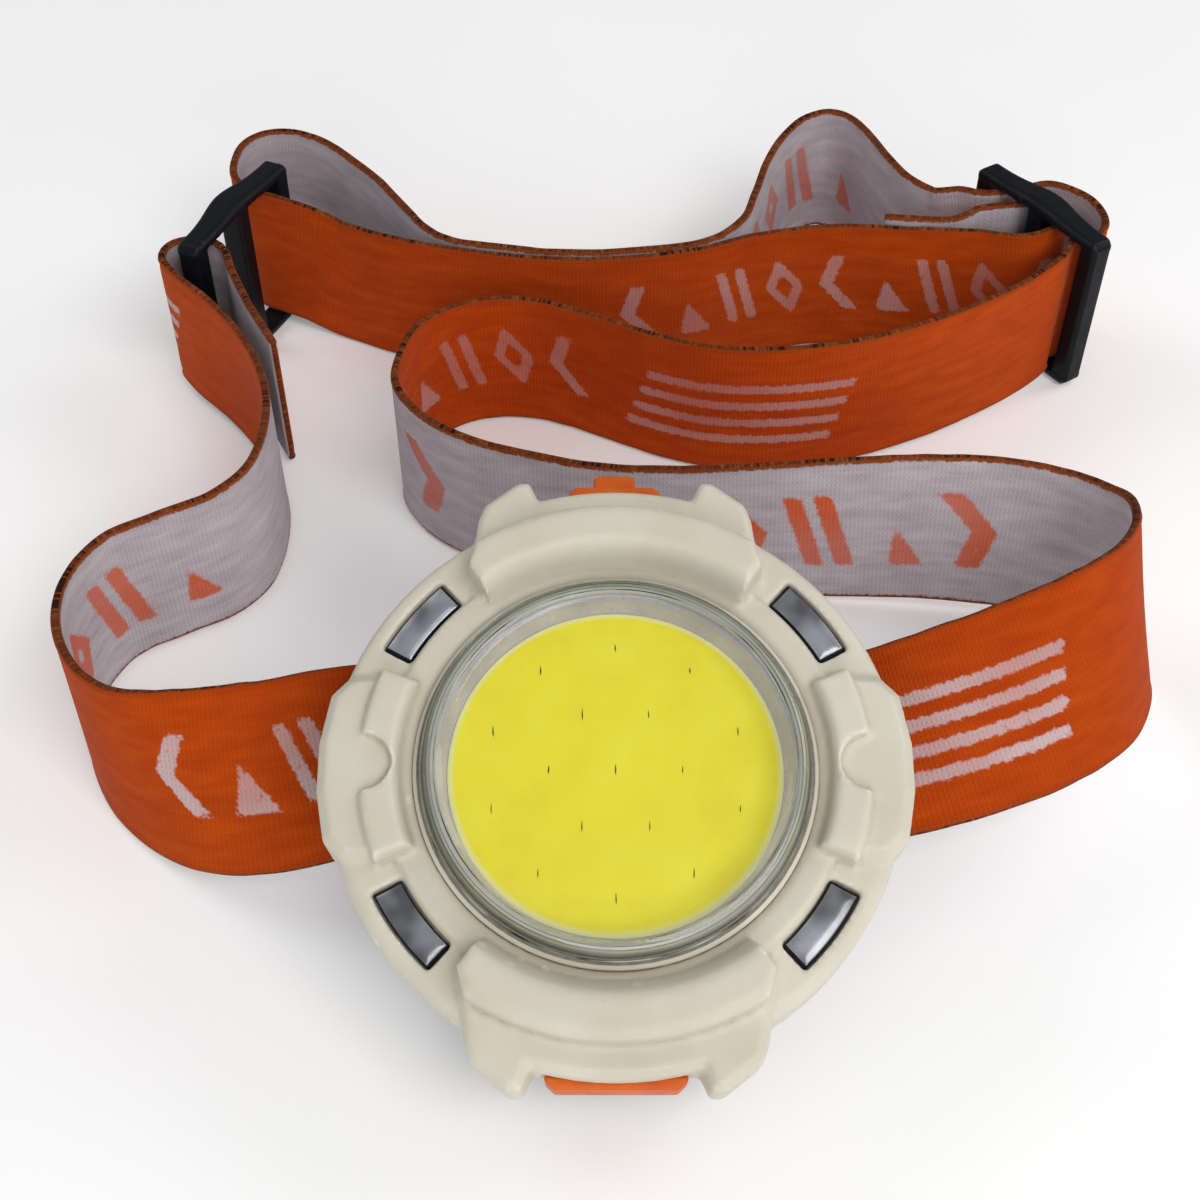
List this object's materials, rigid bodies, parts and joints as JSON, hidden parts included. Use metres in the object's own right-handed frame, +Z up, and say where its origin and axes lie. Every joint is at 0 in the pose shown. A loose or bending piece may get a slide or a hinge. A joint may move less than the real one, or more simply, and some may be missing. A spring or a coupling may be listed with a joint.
{
  "type": "headlamp",
  "caption": "Headlamp with a round flood light in a lugged bezel, on a tilt bracket and a webbing head strap with sliders, lying folded on a table.",
  "frame": {"origin": "centre of the bounding box's base, on the table", "axes": "+Z up from the table, +Y from the lamp towards the rear of the strap, +X to the lamp's right as seen from its front"},
  "size_m": [0.1592, 0.1943, 0.0481],
  "materials": {
    "bezel": "fine texture",
    "lens": "clear",
    "seal": "matt",
    "reflector": "bright",
    "phosphor": "smooth gel",
    "cob_board": "satin",
    "heat_sink": "satin",
    "insert": "gloss",
    "circuit_board": "solder mask",
    "battery": "shrink film",
    "tactile_switch": "moulded",
    "steel": "plated",
    "wire_red": "insulation",
    "wire_black": "insulation",
    "silicone": "silicone",
    "dark_plastic": "nylon",
    "webbing": "woven elastic"
  },
  "bodies": {
    "strap_and_bracket": {"tilt_bracket": "dark_plastic", "hinge_pin": "steel", "hinge_washer_left": "steel", "hinge_washer_right": "steel", "headband_strap": "webbing", "right_slider": "dark_plastic", "left_slider": "dark_plastic"},
    "lamp_head": {"bezel": "bezel", "lens": "lens", "lens_seal": "seal", "reflector_ring": "reflector", "cob_phosphor": "phosphor", "cob_base_plate": "cob_board", "heat_sink_plate": "heat_sink", "insert_upper_right": "insert", "insert_upper_left": "insert", "insert_lower_left": "insert", "insert_lower_right": "insert", "circuit_board": "circuit_board", "battery": "battery", "tactile_switch": "tactile_switch", "usb_socket": "steel", "battery_wire_red": "wire_red", "battery_wire_black": "wire_black", "rear_housing": "dark_plastic", "housing_seal": "seal", "screw_1": "steel", "screw_2": "steel", "screw_3": "steel", "screw_4": "steel"},
    "power_button": {"power_button": "silicone"},
    "port_cover": {"port_cover": "silicone"}
  },
  "joints": [
    {"name": "lamp_tilt", "type": "hinge", "parent": "strap_and_bracket", "child": "lamp_head", "pos_m": [-0.004, -0.07956, 0.00359], "axis": [1, 0, 0], "range_deg": [0, 45]},
    {"name": "button_press", "type": "slide", "parent": "lamp_head", "child": "power_button", "axis": [0, -0.9272, -0.3746], "range_m": [0, 0.0009], "stiffness_N_per_m": 300},
    {"name": "port_cover_flex", "type": "hinge", "parent": "lamp_head", "child": "port_cover", "pos_m": [-0.004, -0.09143, 0.01001], "axis": [1, 0, 0], "range_deg": [0, 100]}
  ]
}
